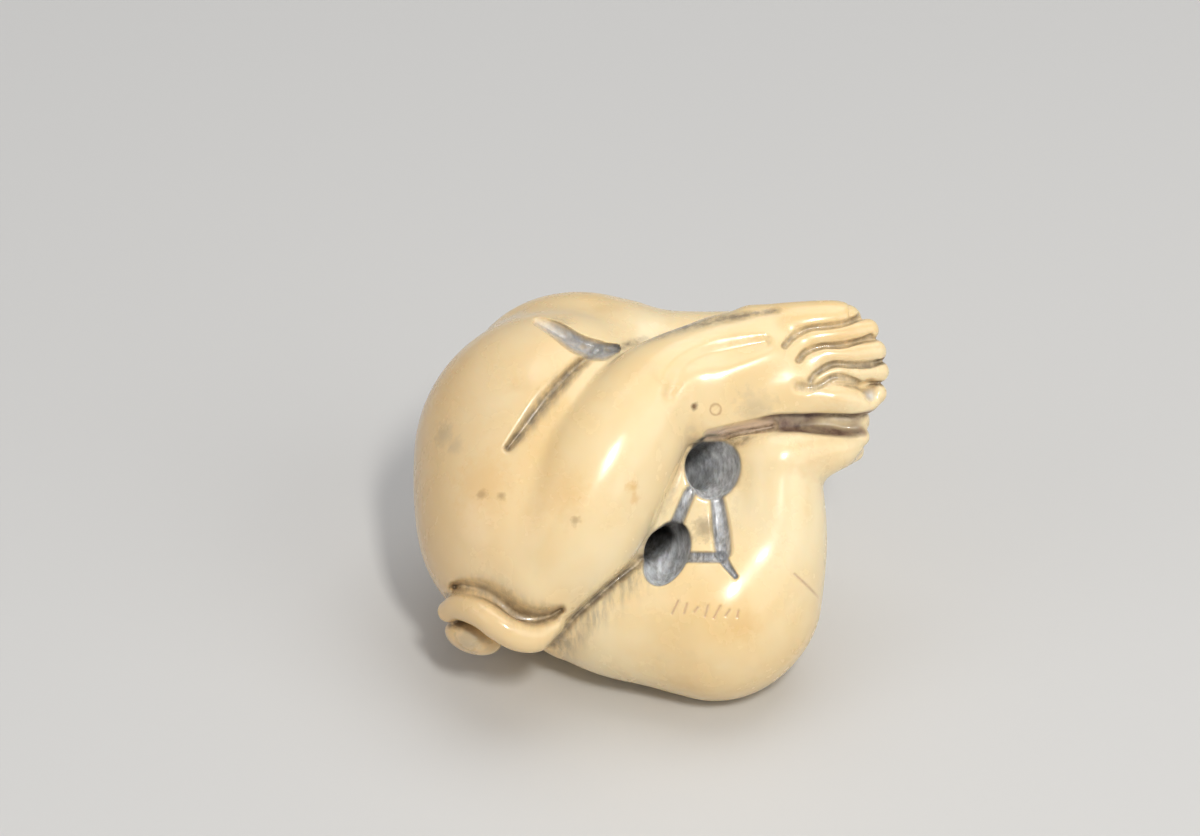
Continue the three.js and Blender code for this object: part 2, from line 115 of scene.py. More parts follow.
def curve_through(rows, axes):
    """A smooth curve through rows of numbers.

    It gives each point's distance to the curve, and the last number of a row at the nearest place.
    """
    rows = np.array(rows, float)
    padded = np.vstack([2 * rows[0] - rows[1], rows, 2 * rows[-1] - rows[-2]])
    last = len(rows) - 1
    steps = 3 * last

    def at(u):
        i = np.minimum(u.astype(int), last - 1)
        t = (u - i)[:, None]
        a, b, c, d = (padded[i + n] for n in range(4))
        k1, k2, k3 = (c - a) / 2, (2 * a - 5 * b + 4 * c - d) / 2, (3 * b - a - 3 * c + d) / 2
        return b + t * (k1 + t * (k2 + t * k3)), k1 + t * (2 * k2 + 3 * t * k3), 2 * k2 + 6 * k3 * t

    samples = at(np.linspace(0, last, steps + 1))[0][:, :axes]

    def nearest(p):
        q = p[:, :axes]
        best = np.full(len(q), np.inf)
        u = np.zeros(len(q))
        for j in range(steps):
            start, step = samples[j], samples[j + 1] - samples[j]
            gap = q - start
            t = np.clip(gap @ step / (step @ step), 0, 1)
            gap -= t[:, None] * step
            square = (gap * gap).sum(axis=1)
            closer = square < best
            best[closer] = square[closer]
            u[closer] = (j + t[closer]) * last / steps
        for _ in range(2):
            value, slope, bend = at(u)
            gap = value[:, :axes] - q
            speed = (slope[:, :axes] ** 2).sum(axis=1)
            curl = (gap * bend[:, :axes]).sum(axis=1)
            first = (gap * slope[:, :axes]).sum(axis=1)
            u = np.clip(u - first / np.maximum(speed + curl, 0.3 * speed), 0, last)
        value = at(u)[0]
        return np.linalg.norm(value[:, :axes] - q, axis=1), value[:, -1]

    middle = (samples.min(axis=0) + samples.max(axis=0)) / 2
    reach = np.linalg.norm(samples - middle, axis=1).max()
    return nearest, middle, reach


def limb(*stations):
    """A round limb along stations of x, y, z and radius."""
    nearest, middle, reach = curve_through(stations, 3)
    widest = max(station[3] for station in stations)

    def distance(p):
        gap, radius = nearest(p)
        return gap - radius

    return within_reach(distance, middle, reach + widest)


def nearness(*stations):
    """How near a stroke is, from 1 on it to 0.

    Stations of (x, y, half width) count at every depth, those of (x, y, z, half width) only near their own.
    """
    axes = len(stations[0]) - 1
    nearest, middle, reach = curve_through(stations, axes)

    def share(p):
        gap, half_width = nearest(p)
        return np.exp(-((gap / np.maximum(half_width, NARROWEST)) ** 2))

    return within_reach(share, middle, reach - FAR + STROKE_REACH, beyond=0.0)


def trench(*stations):
    """A stroke like nearness(), with a flat floor and steep sides."""
    share = nearness(*stations)

    def floored(p):
        near = share(p)
        return np.clip(1.5 * near - 0.1, 0, 1) ** 0.5 * np.minimum(6 * near, 1)

    return floored


# ---------------------------------------------------------------- the figure's forms

trunk = join(
    mass((0, -2.5, -5), (14.5, 12.5, 9.6)),
    (2.0, mass((-8.3, 3.2, -3.8), (13.7, 14, 11.6))),  # near haunch and thigh
    (4.0, mass((-11.6, -3.6, 0.8), (9.6, 9.4, 9.2), (0, 0, -30))),  # near knee
    (2.5, limb((-1.5, 7.5, -8.5, 7.4), (7.6, -8.5, -3, 7.0))),  # far thigh
    (4.0, mass((-3, 2.6, -11), (11.5, 10.6, 8.0), (-8, 0, 12))),  # back
    (1.0, mass((-6.2, 9.9, -8), (11.1, 9.1, 8.3), (0, 0, -6))),  # far haunch
    (2.5, limb((-1, 12.8, -5, 4.5), (6, 13.6, -2.5, 3.5), (13, 15, 0.2, 2.3))),  # far side of the legs
    (3.5, limb((-10, -2.6, -10.8, 5.0), (3.4, -3.6, -10.6, 4.4))),  # shoulders
    (2.5, mass((-5, -9, -7.2), (11.5, 6.6, 5.5), (-55, 0, 0))),  # lap, on which it rests
)
head = join(
    mass((-2.8, -6.6, -10.8), (5.6, 5.6, 6.0), (30, 0, 0)),
    (0.35, mass((-2.7, -5.6, -12.4), (5.75, 5.3, 4.9), (20, 0, 0))),  # hair
    (0.3, mass((-8.2, -7.4, -9.6), (0.9, 1.5, 1.0), (0, 0, 20))),  # ears
    (0.3, mass((2.6, -7.4, -9.6), (0.9, 1.5, 1.0), (0, 0, -20))),
)
arm_near = limb((-10.6, -3, -11.8, 4.0), (-13.2, -8.4, -10.4, 3.1), (-16.2, -10.8, -1.4, 2.3))
arm_far = limb(
    (4.2, -3.4, -10.6, 3.9),
    (9.8, -7.6, -9.4, 3.1),
    (7.2, -12.2, -7.6, 2.6),
    (0.8, -13.4, -6.6, 2.3),
)

leg_far = join(
    limb((11.8, 3, 3, 3.9), (11.3, -4, 2, 5.0), (10.1, -9, 0.5, 5.0)),  # shin
    (4.0, mass((7.1, -10.3, -0.4), (7.6, 7.9, 7.6), (0, 0, -12))),  # knee
    # thigh below the shin
    (4.0, limb((5, -10.6, -0.2, 7.5), (-1.6, -10.3, -0.9, 7.0), (-6.2, -9.1, -1.6, 6.5))),
    (1.6, mass((4.2, -0.4, 1), (9, 7.6, 4.2))),  # flat between the shins
    (1.6, mass((12.2, 3.9, 0.8), (7.2, 2.7, 5.0), (0, 0, 8))),  # foot on edge
    (1.2, limb((13, 3.6, 3.4, 2.6), (17.3, 4.4, 3.3, 1.9), (19.2, 5.4, 3.2, 0.95))),
    (0.3, limb((13.4, 2.0, 2.0, 1.5), (16.8, 3.2, 2.1, 1.1), (18.7, 4.1, 2.0, 1.0))),  # rim under the foot
)

TOES = [
    limb(*stations)
    for stations in (
        ((9.5, 15, 3, 2.5), (13.8, 15.7, 3.8, 2.15), (17, 16.2, 3.9, 1.75), (18, 16.2, 3.8, 1.35)),
        ((12, 12.6, 4.2, 1.4), (14.2, 14.2, 4.8, 1.4), (17.4, 14.8, 4.7, 1.25), (19.9, 15.2, 4, 1.05)),
        ((13.4, 11, 4.4, 1.4), (15.4, 12.7, 5, 1.35), (18.2, 12.9, 4.8, 1.25), (20.5, 13.2, 4, 1.15)),
        ((14.6, 9.6, 4.6, 1.2), (16, 11, 5.2, 1.2), (18.6, 11.3, 4.9, 1.15), (20.9, 11.4, 3.9, 1.0)),
        ((14, 9, 4.8, 1.7), (16.8, 9, 5, 1.6), (19.2, 8.6, 4.4, 1.3), (20.7, 9.4, 3.7, 1.0)),
    )
]
toes = join(TOES[0], *((0.25, toe) for toe in TOES[1:]))

leg_near = join(
    limb(
        (-10.4, -6.4, 4.2, 6.0),
        (-7.2, -2.6, 4.8, 6.5),
        (-3.8, 3.4, 4.8, 6.2),
        (0.4, 9.2, 4.2, 4.9),
        (5.4, 12.3, 3.4, 4.0),
        (9.5, 13.8, 3, 3.5),
    ),
    (2.0, mass((10.6, 9.9, 3.8), (8.0, 4.3, 3.3), (0, 0, 14))),  # sole
    # edge of the sole
    (1.6, limb((5.2, 8, 4.6, 3.0), (6.6, 10.6, 5.3, 2.2), (9.4, 12.2, 5.2, 1.7), (12.4, 13.6, 4.6, 1.6))),
    (0.6, join(toes, (0.8, mass((16.6, 12.4, 3), (3.9, 4.6, 2.2))))),  # toes and the ball behind them
)

thumb = mass((-16.3, -13, 2.2), (2.7, 1.6, 2.6), (0, 0, -18))
fingers = limb(
    (-18.5, -10.6, 3.6, 1.05),
    (-17.3, -10.1, 5.2, 1.3),
    (-15.4, -10.6, 6.9, 1.45),
    (-13.6, -11.8, 7.5, 1.5),
    (-12, -12.6, 7.2, 1.55),
    (-10.4, -12.7, 6.5, 1.5),
    (-8.8, -11.9, 6.2, 1.3),
)
hand = join(thumb, (0.45, fingers))
between_feet = limb((8, 6.2, 1, 3.0), (14, 6.9, 1.4, 2.9), (18.6, 6.9, 2.3, 1.6))
whole_figure = join(
    trunk,
    (1.6, head),
    (1.2, arm_near),
    (0.9, arm_far),
    (0.8, leg_far),
    (0.6, leg_near),
    (0.4, between_feet),
    (0.35, hand),
)

# Furrows: depth, and the stroke that it is cut along.
CLEFT = (
    1.2,
    trench(
        (-10.4, 16.1, 0.3),
        (-8.6, 15.2, 0.5),
        (-6.6, 13.9, 0.6),
        (-4.6, 13.3, 0.6),
        (-3.2, 13.5, 0.3),
    ),
)
THIGH_CREASE = (
    0.8,
    nearness(
        (-13, 4.4, 0.3),
        (-11.4, 6.4, 0.5),
        (-9.4, 9, 0.6),
        (-7, 11.6, 0.5),
        (-4.8, 13.4, 0.3),
    ),
)
CALF_TOP = (0.12, nearness((-3.2, 13.5, 0.3), (0, 14.6, 0.4), (5, 15.9, 0.4), (11.5, 17, 0.3)))
ABOVE_HAND = (
    0.9,
    nearness(
        (-17.9, -8.3, 0.4),
        (-17, -8.2, 0.55),
        (-15.1, -8.5, 0.75),
        (-13.3, -9.5, 0.8),
        (-12, -10.4, 0.8),
        (-10.6, -10.8, 0.75),
        (-9.2, -10.7, 0.6),
        (-8.2, -10.3, 0.35),
    ),
)
UNDER_CALF_LINE = (
    (-0.9, -5.8),
    (-1.4, -6.4),
    (-3.7, -8.1),
    (-5.6, -9.8),
    (-6.8, -10.9),
    (-7.9, -12.3),
    (-9, -13.8),
)
UNDER_CALF = (0.45, nearness(*((x, y, 0.4) for x, y in UNDER_CALF_LINE)))
BESIDE_CALF = (0.3, nearness(*((x + 0.7, y - 0.6, 0.9) for x, y in UNDER_CALF_LINE)))
ABOVE_SOLE = (
    0.45,
    nearness((1.6, 9.4, 0.6), (2.9, 11.6, 0.9), (4.9, 12.8, 0.9), (7.4, 13.3, 0.9), (10.4, 14, 0.6)),
)
BETWEEN_TOES = [
    (0.4, nearness(*((x, y, z, 0.27) for x, y, z in line)))
    for line in (
        (
            (12.2, 13.7, 6.5),
            (13.1, 14.6, 6),
            (14.5, 15.3, 5.8),
            (16.3, 15.5, 5.7),
            (17.9, 15.8, 5.3),
            (19.2, 16.4, 4.3),
        ),
        (
            (13.5, 12.4, 6.4),
            (14.1, 13.1, 6.1),
            (15.5, 13.6, 5.9),
            (17.5, 13.7, 5.7),
            (19.1, 14.2, 5),
            (20.1, 14.6, 4.7),
        ),
        (
            (14.6, 10.6, 6.5),
            (15.1, 11.2, 6.3),
            (16.7, 12, 6),
            (18.3, 11.9, 5.8),
            (19.9, 11.9, 5.2),
            (21.2, 12.4, 4.2),
        ),
        (
            (13.6, 10, 6.7),
            (15.1, 10, 6.4),
            (16.5, 10.8, 6.2),
            (17.5, 10.9, 6.1),
            (18.7, 10.5, 5.6),
            (19.4, 9.9, 4.8),
        ),
    )
]
TOE_PITS = [
    (0.5, nearness((13.5, 10, 6.8, 0.4), (14.2, 9.9, 6.7, 0.4))),
    (0.8, nearness((19.9, 10.1, 4.6, 0.6), (20.2, 9.2, 5, 0.6))),
]
A_GROOVES = [
    (0.55, trench((3.7, 0.4, 0.44), (3.4, -0.1, 0.44), (2.4, -2.5, 0.46))),
    (
        0.55,
        trench(
            (6.1, 0.4, 0.45),
            (6.1, -0.4, 0.5),
            (6.4, -2.7, 0.6),
            (6.6, -4.9, 0.6),
            (6.7, -5.9, 0.35),
            (7.7, -7.3, 0.18),
        ),
    ),
    (0.45, trench((2.6, -5.6, 0.38), (6.4, -5.6, 0.38))),
]
SLOT_LEAD = (0.45, trench((5.5, 5.4, 0.5), (8, 6.1, 0.42), (11, 6.6, 0.5)))
UNDER_FAR_FOOT = (
    0.3,
    nearness((19, 3.8, 3.4, 0.35), (17.4, 3, 3.6, 0.3), (16, 2.6, 3.8, 0.3), (14.8, 1.9, 4, 0.25)),
)


def mark(n):
    """One of a row of shallow strokes that spell nothing."""
    x, y = 2.2 + 0.95 * n, -10.1 - 0.1 * n
    lean = radians(64 + 14 * sin(2.4 * n))
    reach = 0.45 + 0.2 * cos(1.7 * n)
    return 0.08, nearness(*((x + t * cos(lean), y + t * sin(lean), 0.1) for t in (-reach, 0, reach)))


MARKS = [mark(n) for n in range(7)]
CRACK = (0.06, nearness((13.1, -7.1, 0.1), (14.1, -8, 0.12), (15.5, -9.4, 0.1)))
FURROWS = [
    CLEFT,
    THIGH_CREASE,
    CALF_TOP,
    ABOVE_HAND,
    UNDER_CALF,
    BESIDE_CALF,
    ABOVE_SOLE,
    *BETWEEN_TOES,
    *TOE_PITS,
    *A_GROOVES,
    SLOT_LEAD,
    UNDER_FAR_FOOT,
    *MARKS,
    CRACK,
]
SPINE = (
    0.5,
    nearness((-12, 15.8, -6, 1.2), (-10, 12.6, -13, 1.6), (-6.4, 6, -18.4, 1.8), (-3.4, 0, -19, 1.6)),
)

feet_slot = join(
    limb(
        (9.6, 6.6, 6.5, 0.12),
        (11.6, 7.1, 6.0, 0.4),
        (14, 7.3, 5.2, 0.6),
        (18, 7.2, 4.8, 0.6),
        (22, 7.0, 4.4, 0.6),
    ),
    (
        0.3,
        limb(
            (9.6, 6.5, 6.5, 0.12),
            (11.6, 6.5, 6.0, 0.4),
            (14, 6.5, 5.2, 0.6),
            (18, 6.3, 4.8, 0.7),
            (22, 6.2, 4.4, 0.7),
        ),
    ),
)
cord_holes = join(
    mass((5.7, 2.6, 5.6), (2.45, 2.95, 3.4), (0, 0, -8)),
    (0.6, limb((4.9, 2.7, 3.4, 1.9), (2, 1.2, 0.4, 1.9), (-0.8, -2, -0.6, 1.9), (0.4, -4.4, 3, 1.8))),
    (0.6, mass((1.5, -5.3, 5.4), (1.9, 3.1, 3.4), (0, 0, -22))),
)


FADE_FROM, FADE_OVER = -0.6, 1.6  # the furrows fade in from this height, over this much
FADE_RISE = 3.1  # how much higher they fade in at the feet, which are thin


def in_front(p):
    """0 on the hidden side, 1 on the underside."""
    begins = FADE_RISE * np.clip((p[:, 0] - 2) / 3, 0, 1) + FADE_FROM
    return np.clip((p[:, 2] - begins) / FADE_OVER, 0, 1)


def carving(p):
    cut = sum(depth * share(p) for depth, share in FURROWS) * in_front(p) + SPINE[0] * SPINE[1](p)
    slotted = soft_max(whole_figure(p) + cut, -feet_slot(p), SLOT_EDGE)
    return soft_max(slotted, -cord_holes(p), HOLE_EDGE)


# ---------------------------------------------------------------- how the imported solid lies

LEAN = turning((90 - UNDERSIDE_LEAN, 0, 0))
FITTED_REACH = 2.5  # only points this near the carving are fitted
ABOVE_FLAT = 1  # and only those this high, so that the flat doesn't count


def slope_of(form, p, step=0.02):
    return np.stack([(form(p + axis) - form(p - axis)) / (2 * step) for axis in np.eye(3) * step], axis=1)


def seat(points):
    """Where the carving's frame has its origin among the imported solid's points, all in millimetres."""
    place = points.mean(axis=0)
    for _ in range(6):
        p = (points - place) @ LEAN
        normals = slope_of(carving, p) @ LEAN.T
        off = carving(p)
        fits = np.abs(off) < FITTED_REACH
        place = place + np.linalg.lstsq(normals[fits], off[fits], rcond=None)[0]
    return place


def cad_points(every):
    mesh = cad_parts[NODE].data
    flat = np.empty(3 * len(mesh.vertices))
    mesh.vertices.foreach_get("co", flat)
    points = flat.reshape(-1, 3) / MM
    return points[points[:, 2] > ABOVE_FLAT][::every]


SEAT = seat(cad_points(every=9))


def to_table(p):
    """From the carving's frame, in millimetres, to the object's frame, in metres."""
    return (p @ LEAN.T + SEAT) * MM


def rested(p):
    """The carving with the flat that it rests on."""
    height = p @ LEAN[2] + SEAT[2]
    return soft_max(carving(p), -height, FLAT_EDGE)


# ---------------------------------------------------------------- meshing

CELL = 0.55
LOW, HIGH = np.array([-24.4, -21.6, -22.6]), np.array([24.2, 21.4, 14.6])
CORNERS = [(i, j, k) for i in (0, 1) for j in (0, 1) for k in (0, 1)]
SHARPEST_BEND = 13  # an edge is halved if the normals at its ends are more degrees apart than this
SHORTEST_EDGE = 0.14  # but no edge below this is halved for its bend
STROKE_EDGE = 0.003  # an edge lies on a stroke where the stroke's nearness is above this
STRAY = 0.06  # a vertex further than this from the surface has left it
FOLDED = 0.3  # a face has folded over if its normal agrees less than this with a corner's
FIRST_PULL = 0.7  # share of the way back to the surface that untangle's first round moves
FURTHEST_MOVE = 0.15
LEAST_SQUARE_SLOPE = 0.3


def fill_pinches(inside, values):
    """Fills the weakest outer corner of each face that the surface crosses twice.

    Otherwise an edge would be pinched there.
    """
    for axis in range(3):
        u, v = [n for n in range(3) if n != axis]

        def shifted(array, du, dv):
            slices = [slice(None)] * 3
            slices[u] = slice(du, array.shape[u] - 1 + du)
            slices[v] = slice(dv, array.shape[v] - 1 + dv)
            return array[tuple(slices)]

        a, b, c, d = (shifted(inside, du, dv) for du, dv in ((0, 0), (1, 0), (0, 1), (1, 1)))
        for pair, others in (((0, 0), (1, 1)), False), (((1, 0), (0, 1)), True):
            crossed = (a == d) & (b == c) & (a != b) & (a == others)
            first, second = (shifted(values, *corner) for corner in pair)
            for corner, weaker in ((pair[0], first <= second), (pair[1], first > second)):
                target = shifted(inside, *corner)
                target |= crossed & weaker


def net_over_surface(form):
    """A mesh with one vertex in each cell that the surface crosses.

    Two triangles go round each grid edge that it crosses.
    """
    counts = np.ceil((HIGH - LOW) / CELL).astype(int) + 1
    grid = np.stack(np.meshgrid(*(np.arange(n) for n in counts), indexing="ij"), axis=-1).reshape(-1, 3)
    values = form(LOW + grid * CELL).reshape(counts)
    inside = values < 0
    before = -1
    while inside.sum() != before:
        before = inside.sum()
        fill_pinches(inside, values)
    values = np.where(inside, np.minimum(values, -1e-3), np.maximum(values, 1e-3))

    cells = counts - 1
    total = np.zeros((*cells, 3))
    crossings = np.zeros(cells)
    index = np.stack(np.meshgrid(*(np.arange(n) for n in counts), indexing="ij"), axis=-1).astype(float)
    for start in CORNERS:
        for axis in range(3):
            if start[axis]:
                continue
            end = tuple(1 if n == axis else start[n] for n in range(3))
            at_start = tuple(slice(s, s + n) for s, n in zip(start, cells))
            at_end = tuple(slice(e, e + n) for e, n in zip(end, cells))
            a, b = values[at_start], values[at_end]
            crossed = (a < 0) != (b < 0)
            place = index[at_start].copy()
            place[..., axis] += a / np.where(crossed, a - b, 1)
            total += np.where(crossed[..., None], place, 0)
            crossings += crossed
    active = crossings > 0
    vertex = np.full(cells, -1)
    vertex[active] = np.arange(active.sum())
    points = LOW + total[active] / crossings[active][:, None] * CELL

    quads = []
    for axis in range(3):
        u, v = (axis + 1) % 3, (axis + 2) % 3
        a = values
        b = np.roll(values, -1, axis)
        crossed = (a < 0) != (b < 0)
        at = np.argwhere(crossed)
        at = at[(at[:, axis] < cells[axis]) & (at[:, u] > 0) & (at[:, v] > 0)]
        eu, ev = np.eye(3, dtype=int)[u], np.eye(3, dtype=int)[v]
        ring = np.stack([vertex[tuple((at - s).T)] for s in (eu + ev, ev, 0 * ev, eu)], axis=1)
        outward = values[tuple(at.T)] < 0
        quads.append(np.where(outward[:, None], ring, ring[:, ::-1]))
    quads = np.vstack(quads)
    first, second = (np.linalg.norm(points[quads[:, n]] - points[quads[:, n + 2]], axis=1) for n in (0, 1))
    quads = np.where((first > second)[:, None], np.roll(quads, -1, axis=1), quads)
    return points, np.vstack([quads[:, [0, 1, 2]], quads[:, [0, 2, 3]]])


def normals_of(points, triangles):
    """The normals at the points, each face counting by its area."""
    a, b, c = (points[triangles[:, n]] for n in range(3))
    faces = np.cross(b - a, c - a)
    normals = np.zeros_like(points)
    for n in range(3):
        for axis in range(3):
            normals[:, axis] += np.bincount(triangles[:, n], faces[:, axis], len(points))
    return normals / np.maximum(np.linalg.norm(normals, axis=1), 1e-12)[:, None]


def settle(form, points, normals, reach=0.3, step=0.03):
    """Moves points along their normals onto the surface."""
    off = form(points)
    slope = (form(points + normals * step) - off) / step
    move = -off / np.maximum(slope, 0.35)
    return points + normals * np.clip(move, -reach, reach)[:, None]


def relax(form, points, triangles, rounds, share=0.5):
    """Evens out the vertices along the surface."""
    ring = np.bincount(triangles.ravel(), minlength=len(points))
    for _ in range(rounds):
        normals = normals_of(points, triangles)
        middle = np.zeros_like(points)
        for n in range(3):
            follow = points[triangles[:, (n + 1) % 3]]
            for axis in range(3):
                middle[:, axis] += np.bincount(triangles[:, n], follow[:, axis], len(points))
        move = middle / ring[:, None] - points
        move -= (move * normals).sum(axis=1)[:, None] * normals
        points = settle(form, points + share * move, normals)
    return points


def refine(points, triangles, strokes):
    """Halves the edges that bend too much, or that are long for the stroke that they cross."""
    normals = normals_of(points, triangles)
    edges = np.sort(triangles[:, [0, 1, 1, 2, 2, 0]].reshape(-1, 2), axis=1)
    edges, place = np.unique(edges, axis=0, return_inverse=True)
    place = place.reshape(-1, 3)
    a, b = points[edges[:, 0]], points[edges[:, 1]]
    length = np.linalg.norm(a - b, axis=1)
    bent = (normals[edges[:, 0]] * normals[edges[:, 1]]).sum(axis=1) < cos(radians(SHARPEST_BEND))
    split = bent & (length > SHORTEST_EDGE)
    middle = (a + b) / 2
    for longest, share in strokes:
        long = np.flatnonzero((length > longest) & ~split)
        split[long] |= share(middle[long]) > STROKE_EDGE
    added = np.full(len(edges), -1)
    added[split] = len(points) + np.arange(split.sum())
    points = np.vstack([points, middle[split]])

    cuts = added[place]
    splits = (cuts >= 0).sum(axis=1)
    first = np.where(splits == 2, (np.argmax(cuts < 0, axis=1) + 1) % 3, np.argmax(cuts >= 0, axis=1))
    turn = (first[:, None] + np.arange(3)) % 3
    a, b, c = np.take_along_axis(triangles, turn, axis=1).T
    ab, bc, ca = np.take_along_axis(cuts, turn, axis=1).T
    parts = [
        triangles[splits == 0],
        *(np.stack(t, axis=1)[splits == 1] for t in ((a, ab, c), (ab, b, c))),
        *(np.stack(t, axis=1)[splits == 2] for t in ((ab, b, bc), (a, ab, bc), (a, bc, c))),
        *(np.stack(t, axis=1)[splits == 3] for t in ((a, ab, ca), (ab, b, bc), (ca, bc, c), (ab, bc, ca))),
    ]
    return points, np.vstack(parts)


def untangle(form, points, triangles, rounds):
    """Evens out the few places where the mesh has folded over or has left the surface."""
    points = points.copy()
    strayed = np.abs(form(points)) > STRAY
    for done in range(rounds):
        normals = normals_of(points, triangles)
        a, b, c = (points[triangles[:, n]] for n in range(3))
        faces = np.cross(b - a, c - a)
        faces /= np.maximum(np.linalg.norm(faces, axis=1), 1e-12)[:, None]
        agree = np.min([(faces * normals[triangles[:, n]]).sum(axis=1) for n in range(3)], axis=0)
        bad = strayed.copy()
        bad[triangles[agree < FOLDED]] = True
        bad[triangles[bad[triangles].any(axis=1)]] = True
        near = triangles[bad[triangles].any(axis=1)]
        total = np.zeros_like(points)
        count = np.maximum(np.bincount(near.ravel(), minlength=len(points)), 1)
        for n in range(3):
            for axis in range(3):
                total[:, axis] += np.bincount(near[:, n], points[near[:, (n + 1) % 3], axis], len(points))
        points[bad] = total[bad] / count[bad][:, None]
        slope = slope_of(form, points[bad])
        steep = np.maximum((slope**2).sum(axis=1), LEAST_SQUARE_SLOPE)
        pull = FIRST_PULL * (1 - done / rounds) ** 2
        move = np.clip(pull * form(points[bad]) / steep, -FURTHEST_MOVE, FURTHEST_MOVE)
        points[bad] -= move[:, None] * slope
        strayed[bad] = np.abs(form(points[bad])) > STRAY
    return points


# ---------------------------------------------------------------- the sculpted surface

# The longest edge wanted along each stroke.
FINE_STROKES = [(0.3, CLEFT[1]), (0.35, THIGH_CREASE[1]), (0.4, ABOVE_HAND[1]), (0.25, UNDER_CALF[1])]
FINE_STROKES += [(0.2, share) for _, share in (*BETWEEN_TOES, *TOE_PITS)]
FINE_STROKES += [(0.22, share) for _, share in (*A_GROOVES, SLOT_LEAD)]
FINE_STROKES += [(0.13, share) for _, share in (*MARKS, CRACK)]


def sculpt():
    points, triangles = net_over_surface(rested)
    points = relax(rested, points, triangles, 4)
    passes = 3
    for _ in range(passes):
        points, triangles = refine(points, triangles, FINE_STROKES)
        points = relax(rested, points, triangles, 2)
    points = relax(rested, points, triangles, 1, share=0.2)
    return untangle(rested, points, triangles, 14), triangles


def make_mesh(name, points, triangles):
    mesh = bpy.data.meshes.new(name)
    mesh.vertices.add(len(points))
    mesh.vertices.foreach_set("co", points.ravel())
    mesh.loops.add(3 * len(triangles))
    mesh.loops.foreach_set("vertex_index", triangles.ravel().astype(np.int32))
    mesh.polygons.add(len(triangles))
    mesh.polygons.foreach_set("loop_start", np.arange(0, 3 * len(triangles), 3, dtype=np.int32))
    mesh.update(calc_edges=True)
    mesh.validate()
    mesh.shade_smooth()
    piece = bpy.data.objects.new(name, mesh)
    bpy.context.collection.objects.link(piece)
    return piece


def store(mesh, name, values):
    """Gives each point a number that the material reads by its name."""
    mesh.attributes.new(name, "FLOAT", "POINT").data.foreach_set("value", values.astype(np.float32))


points, triangles = sculpt()
normals = normals_of(points, triangles)
figure = make_mesh("carving", to_table(points), triangles)


def hollow(reach):
    """How much the surface closes in above a point, from 0 on open ground to 1 in a narrow crease."""
    return np.clip(1 - rested(points + normals * reach) / reach, 0, 1)


def most(strokes, spread=1.0):
    """How near any of the strokes is, spread wider by raising it to a power below 1."""
    return np.max([share(points) for _, share in strokes], axis=0) ** spread


HOLE_MIDDLES = ((5.7, 2.6, 1.3), (1.5, -5.3, 0.4))  # x, y, and how far the lit wall reaches up and left


def lit_walls(p):
    """Painted light on the walls of the cord holes and painted shade on their deep sides, from 1 at the lower
    right to 0 at the upper left.
    """
    (x1, y1, reach1), (x2, y2, reach2) = HOLE_MIDDLES
    upper = p[:, 1] > (y1 + y2) / 2
    x, y, reach = (np.where(upper, a, b) for a, b in ((x1, x2), (y1, y2), (reach1, reach2)))
    return np.clip(0.5 + (0.6 * (p[:, 0] - x) - 0.8 * (p[:, 1] - y) + reach) / 1.1, 0, 1)


front = in_front(points)
holes = np.clip(1 - (cord_holes(points) - 0.02) / 0.16, 0, 1)
grooves = np.clip(most(A_GROOVES) * 3 - 1, 0, 1) * front
# crevice: how closed in each point is, which darkens the hollows with dirt and painted shade
store(figure.data, "crevice", np.clip(0.7 * hollow(0.35) + 0.5 * hollow(1.2), 0, 1))
store(figure.data, "graphite", np.clip(holes + grooves, 0, 1))
store(figure.data, "grooves", grooves * (1 - holes))
# painted sheen: the grey lining of the cleft and of the pit by the little toe is given a light silvery colour
shiny_cleft = np.clip(most([CLEFT]) * 2 - 0.7, 0, 1) * front
shiny_pit = np.clip(most(TOE_PITS[1:]) * 2 - 0.6, 0, 1)
# dark lines of dirt and painted shade along the creases and between the toes
dirty_and_shaded = (THIGH_CREASE, UNDER_CALF, CALF_TOP, *BETWEEN_TOES, UNDER_FAR_FOOT)
smeared = (ABOVE_HAND, BESIDE_CALF, CLEFT, THIGH_CREASE, *BETWEEN_TOES[2:])
store(figure.data, "shine", shiny_cleft + shiny_pit)
store(figure.data, "lit_wall", holes * lit_walls(points))
store(figure.data, "brown", np.clip(1.1 - (feet_slot(points) - 0.02) / 0.35, 0, 1))
store(figure.data, "pink", most([SLOT_LEAD]) * (1 - holes) * front)
store(figure.data, "dirt_and_shade", most(dirty_and_shaded) * front)
store(figure.data, "smear", most(smeared, 0.45) * front)
store(figure.data, "marks", most((*MARKS, CRACK)) * front)


# ---------------------------------------------------------------- materials


def on_underside(x, y):
    """The point of the underside's surface at x and y, in the object's frame."""
    z = np.linspace(14, -10, 481)
    p = np.stack([np.full_like(z, x), np.full_like(z, y), z], axis=1)
    return tuple(to_table(p[np.flatnonzero(carving(p) < 0)[0]]))


